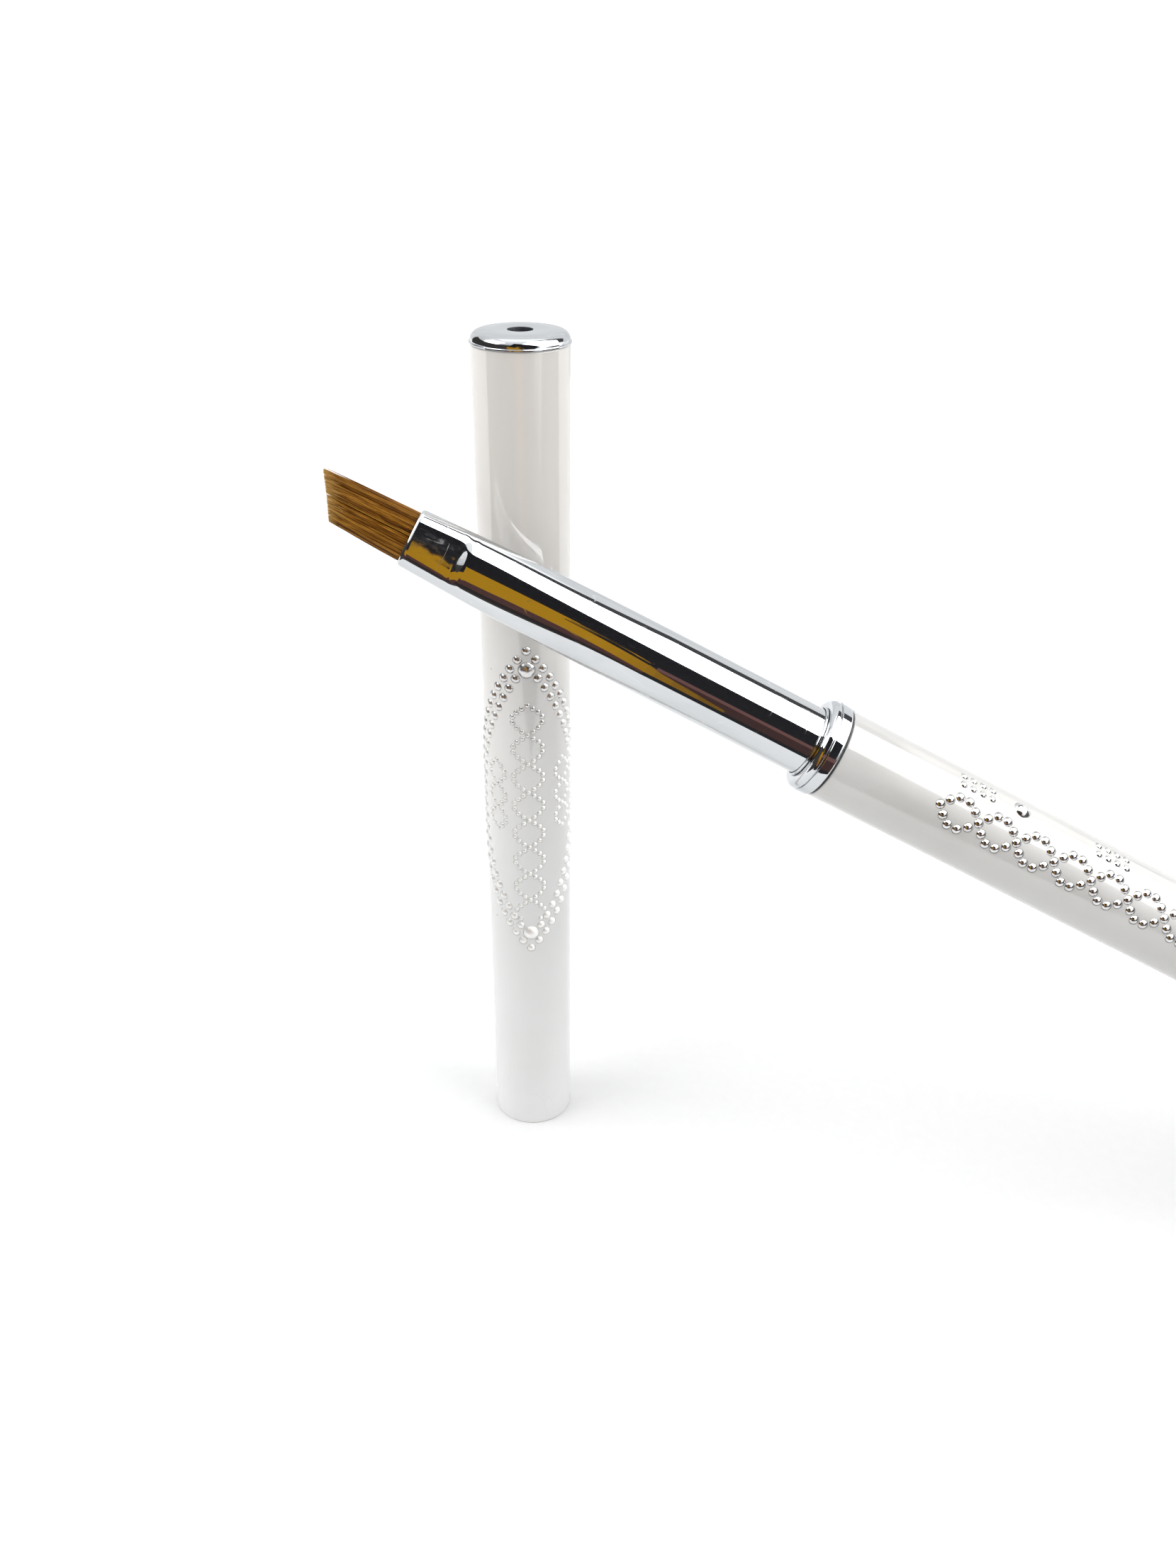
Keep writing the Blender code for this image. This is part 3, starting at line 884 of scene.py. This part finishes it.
def make_tuft():
    """Tapered strands from inside the ferrule's mouth to a thin, slanting, slightly ragged tip."""
    run = np.linspace(0.0, 1.0, STRAND_RINGS)[None, :]
    across, x, y, place, radius = strand_places(run)
    turn = np.arange(STRAND_SIDES) * math.tau / STRAND_SIDES
    points = np.empty((STRANDS, STRAND_RINGS, STRAND_SIDES, 3))
    points[..., 0] = x[..., None] + radius[..., None] * np.cos(turn)
    points[..., 1] = y[..., None] + radius[..., None] * np.sin(turn)
    points[..., 2] = place[..., None]
    points = points.reshape(-1, 3)
    piece = placed("hair_strands", points, strand_faces(), BRUSH, [hair("hair")], "brush")

    clump = np.sin(across * 23 + 1.3) * 0.5 + np.sin(across * 47 + 0.4) * 0.35 + np.sin(across * 11) * 0.3
    shade = 0.47 + 0.21 * clump + random.normal(0, 0.2, STRANDS)
    by_strand = np.repeat(shade, STRAND_RINGS * STRAND_SIDES)
    by_ring = np.repeat(np.tile(run[0], STRANDS), STRAND_SIDES)
    for name, values in (("shade", by_strand), ("run", by_ring)):
        attribute = piece.data.attributes.new(name, "FLOAT", "POINT")
        attribute.data.foreach_set("value", np.ascontiguousarray(values, np.float32))
    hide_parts("hair_tuft")


def dress_hidden_nodes():
    """The pieces inside keep their CAD shape and get materials of their own."""
    brass = ((0.66, 0.45, 0.17), (0.80, 0.60, 0.28))
    natural = ((0.66, 0.655, 0.63), (0.76, 0.755, 0.73))
    beech = ((0.42, 0.26, 0.13), (0.66, 0.47, 0.28))
    epoxy = ((0.34, 0.20, 0.05), (0.58, 0.40, 0.15))
    waxed = ((0.36, 0.28, 0.17), (0.66, 0.55, 0.38))
    looks = {
        "cap_liner": plain("liner_brass", CAP, brass, (0.22, 0.4), (1, 1, 0.15), 1.5, metallic=1.0),
        "cap_end_bush": plain("cap_bush_plastic", CAP, natural, (0.4, 0.55)),
        "handle_end_bush": plain("handle_bush_plastic", BRUSH, natural, (0.4, 0.55)),
        "handle_liner": plain("handle_liner_plastic", BRUSH, natural, (0.4, 0.55)),
        "ferrule_dowel": plain("dowel_beech", BRUSH, beech, (0.55, 0.7), (1, 1, 14), 2.2, 0.03),
        "tuft_glue": plain("glue_epoxy", BRUSH, epoxy, (0.12, 0.3)),
        "tuft_thread": plain("waxed_thread", BRUSH, waxed, (0.6, 0.85), (9, 9, 0.5), 2.5, 0.06),
    }
    for node, made in looks.items():
        for material_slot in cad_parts[node].material_slots:
            material_slot.material = made


make_cap_tube()
make_handle_tube()
make_end_plug("cap_plug_turned", "cap_end_plug", "cap", CAP, CAP_TOP, chrome_cap)
make_end_plug("handle_plug_turned", "handle_end_plug", "brush", BRUSH, HANDLE_END, chrome_brush)
make_collar()
make_stop_ring()
make_gasket()
make_ferrule()
make_tuft()
dress_hidden_nodes()


# The studio


def stage_mesh(name, points, faces, made):
    mesh = bpy.data.meshes.new(name)
    mesh.from_pydata([tuple(p) for p in points], [], faces)
    mesh.materials.append(made)
    obj = bpy.data.objects.new(name, mesh)
    bpy.context.scene.collection.objects.link(obj)
    return obj


def make_floor():
    """Pale paper, with a painted glow that runs it back into the white of the room."""
    look = Look("floor_paper", Specular_IOR_Level=0.0, Emission_Color=(1.0, 1.0, 1.0))
    at = look.node("TexCoord", {}, output="Object")
    grain = look.noise(at, 900.0, detail=2)
    colour = look.blend(grain, (0.685, 0.685, 0.683), (0.715, 0.715, 0.713))
    rough = look.level(grain, 0.3, 0.7, 0.6, 0.75)
    # Painted light: the paper glows, more the farther it lies from the origin, so that the floor far off
    # stays white.
    away = look.node("VectorMath", {0: at}, output="Value", operation="LENGTH")
    glow = look.level(away, 0.07, 0.7, 0.0, 0.5)
    look.bump(grain, 0.02, 0.2)
    made = look.paint(Base_Color=colour, Roughness=rough, Emission_Strength=glow)
    half = 6.0
    corners = [(-half, -half, 0), (half, -half, 0), (half, half, 0), (-half, half, 0)]
    stage_mesh("floor", corners, [(0, 1, 2, 3)], made)


def card(name, rows, colour):
    """A glowing card between two rows of points, which shows in reflections only."""
    look = Look(name, Roughness=1.0, Base_Color=(0, 0, 0), Emission_Color=colour, Emission_Strength=1.0)
    steps = len(rows[0]) - 1
    faces = [(i, i + 1, i + steps + 2, i + steps + 1) for i in range(steps)]
    made = stage_mesh(name, rows[0] + rows[1], faces, look.made)
    made.visible_camera = False
    made.visible_diffuse = False
    made.visible_shadow = False
    made.visible_transmission = False


def arc(start, end, steps):
    """Evenly spaced angles, in radians, from one in degrees to another."""
    return [math.radians(start + (end - start) * step / steps) for step in range(steps + 1)]


REFLECTOR_FRAME = frame_at(BRUSH.translation, nearest_rotation(brush_way, downhill))
WEDGE_R, AMBER_R, RUST_R, CARD_R, FADE_R = 84.0, 84.6, 84.8, 85.0, 85.3  # the nearer card hides the other
ROOM_R = 150


def reflector(name, low, high, start, end, colour, distance=CARD_R):
    """A strip along the brush from one place to another, between two angles over its front.

    start and end are angles over the horizontal, or pairs of them for the strip's low and high place.
    """
    rows = []
    for i, place in enumerate((low, high)):
        first = start[i] if isinstance(start, tuple) else start
        last = end[i] if isinstance(end, tuple) else end
        turns = [(math.cos(angle) * distance, math.sin(angle) * distance) for angle in arc(first, last, 12)]
        rows.append([REFLECTOR_FRAME @ Vector((-up, -forward, place)) for forward, up in turns])
    card(name, rows, colour)


def between(first, last, share):
    return first + (last - first) * share


def shaded_reflector(name, low, high, start, end, first, last, parts=4):
    """An amber card whose colour goes from first to last along the brush, in small steps."""
    for i in range(parts):
        near, far = i / parts, (i + 1) / parts
        colour = [between(*tones, (near + far) / 2) for tones in zip(first, last)]
        places = [between(low, high, share) for share in (near, far)]
        starts = tuple(between(*start, share) for share in (near, far))
        ends = tuple(between(*end, share) for share in (near, far))
        reflector(f"{name}_{i + 1}", *places, starts, ends, colour, AMBER_R)


def room_card(name, low, high, start, end, colour):
    """A part of the room: an upright arc round the cap, between two angles from the row's X."""
    turns = [(math.cos(angle) * ROOM_R, math.sin(angle) * ROOM_R) for angle in arc(start, end, 24)]
    card(name, [[CAP @ Vector((x, y, z)) for x, y in turns] for z in (low, high)], colour)


def make_fading_card(steps=6):
    """The white over the handle goes grey towards its foot, which falls away along the handle."""
    for i in range(steps):
        starts, ends = (
            tuple(between(*angles, share) for angles in ((52, 14), (41, 13)))
            for share in ((i + 1) / steps, i / steps)
        )
        glow = 1.9 - 0.28 * i
        reflector(f"card_fade_{i + 1}", 32, 120, starts, ends, (glow, glow, glow), FADE_R)


def make_reflectors():
    """What the bright pieces mirror: a white ceiling, a dark photographer, and the desk's warm edge."""
    white, dim_white = (6.0, 6.0, 6.0), (1.9, 1.9, 1.9)
    dim, black = (0.07, 0.07, 0.075), (0.006, 0.006, 0.009)
    amber, dark_amber, deep_amber = (0.54, 0.265, 0.0), (0.43, 0.205, 0.0), (0.2, 0.095, 0.0)
    rust, dark_rust = (0.19, 0.085, 0.075), (0.055, 0.02, 0.017)
    brown, dark_brown = (0.09, 0.035, 0.03), (0.02, 0.012, 0.01)
    reflector("card_white", 30, 120, (51, 40), 113, white)
    reflector("card_white_mid", -5, 30, (55.5, 51), 113, white)
    reflector("card_white_left", -50, -5, (57, 55.5), (87, 113), white)
    reflector("card_edge", -5, 31, 113, 131, dim)
    reflector("card_edge_left", -50, -5, (87, 113), (94, 131), dim)
    reflector("card_white_back", 34, 130, 113, 140, dim_white)
    make_fading_card()
    reflector("card_black_mid", -10, 32, 9, (55.5, 50.5), black)
    reflector("card_black_left", -46, -10, (25, 9), (57, 55.5), black)
    reflector("card_black_far", -75, -46, 12, 57, black)
    reflector("card_amber_far", -75, -46, (3, -10), 15, amber, AMBER_R)
    reflector("card_foot_far", -75, -46, -25, (3, -10), brown)
    reflector("card_amber", -46, -26, (3, -10), (29, 24.5), amber, AMBER_R)
    shaded_reflector("card_amber_low", -26, -10, (-10, -19), (24.5, 16), amber, dark_amber)
    shaded_reflector("card_amber_end", -10, 7, (-19, -20), (9, -12), dark_amber, deep_amber)
    reflector("card_wedge", -39, -10, (20.2, 7.5), (21.8, 14.5), black, WEDGE_R)
    reflector("card_rust", -6, 75, 4, 13, rust, RUST_R)
    reflector("card_dark_rust", -10, 75, -20, 4, dark_rust, RUST_R)
    reflector("card_foot", -46, -10, (-12, -25), (3, -19), brown)
    reflector("card_foot_dark", -46, -10, (-22, -31), (-12, -25), dark_brown)
    reflector("card_foot_end", -10, 75, -31, -20, black)

    shadow, daylight = (0.045, 0.04, 0.038), (0.88, 0.90, 0.91)
    room_card("card_room", 0, 165, -165, 15, shadow)
    room_card("card_left", 62, 165, -220, -165, shadow)
    room_card("card_right", 62, 165, 15, 32, shadow)
    room_card("card_back", 45, 135, 60, 120, daylight)


def make_world():
    """A white room, brighter overhead and behind than in front."""
    world = bpy.data.worlds.new("white_room")
    world.use_nodes = True
    room = Nodes(world.node_tree)
    direction = room.node("TexCoord", {}, output="Generated")

    def rise(axis, low, high):
        return room.level(room.axis(direction, axis), low, high, interpolation_type="SMOOTHSTEP")

    lit = room.maths("MAXIMUM", rise("Y", -0.8, 0.1), rise("Z", 0.35, 0.8))
    walls = room.level(lit, 0.0, 1.0, 0.32, 1.03)
    overhead = room.level(rise("Z", 0.7, 1.0), 0.0, 1.0, 0.0, 0.35)
    background = world.node_tree.nodes["Background"]
    room.put(background.inputs["Color"], (0.985, 0.995, 1.0))
    room.put(background.inputs["Strength"], room.plus(walls, overhead))
    bpy.context.scene.world = world


def area_light(name, place, target, size, power):
    light = bpy.data.lights.new(name, "AREA")
    light.shape = "RECTANGLE"
    light.size, light.size_y = size
    light.energy = power
    obj = bpy.data.objects.new(name, light)
    obj.location = place
    obj.rotation_euler = (Vector(target) - Vector(place)).to_track_quat("-Z", "Y").to_euler()
    bpy.context.scene.collection.objects.link(obj)


def make_lights():
    """Two soft windows, right and left of the front, and a weaker one overhead."""
    centre = cap_foot + Vector((0.02, 0.0, 0.03))
    window_rise, window_distance, window_size = 0.95, 0.62, (0.42, 0.36)
    for name, azimuth, power in (("right_window", -16, 1.75), ("left_window", -162, 1.9)):
        turn = math.radians(azimuth)
        way = Vector((math.cos(turn), math.sin(turn), window_rise)).normalized()
        area_light(name, centre + way * window_distance, centre, window_size, power)
    area_light("overhead", centre + Vector((0.0, 0.12, 0.8)), centre, (0.7, 0.5), 0.45)


def make_camera():
    """The photographer's view, in tube diameters from the cap's foot."""
    diameter = 2 * TUBE_R * MM
    from_cap = Vector((2.092, -13.223, 12.514)) * diameter
    yaw, pitch, roll = math.radians(-5.96), math.radians(29.56), math.radians(0.48)
    way = Vector((math.sin(yaw) * math.cos(pitch), math.cos(yaw) * math.cos(pitch), -math.sin(pitch)))
    camera = bpy.data.cameras.new("camera")
    camera.lens = 29.83
    camera.clip_start = 0.005
    obj = bpy.data.objects.new("camera", camera)
    turn = way.to_track_quat("-Z", "Y").to_matrix() @ Matrix.Rotation(roll, 3, "Z")
    obj.matrix_world = Matrix.Translation(cap_foot + from_cap) @ turn.to_4x4()
    bpy.context.scene.collection.objects.link(obj)
    bpy.context.scene.camera = obj


make_floor()
make_reflectors()
make_world()
make_lights()
make_camera()
bpy.context.scene.view_settings.view_transform = "Standard"
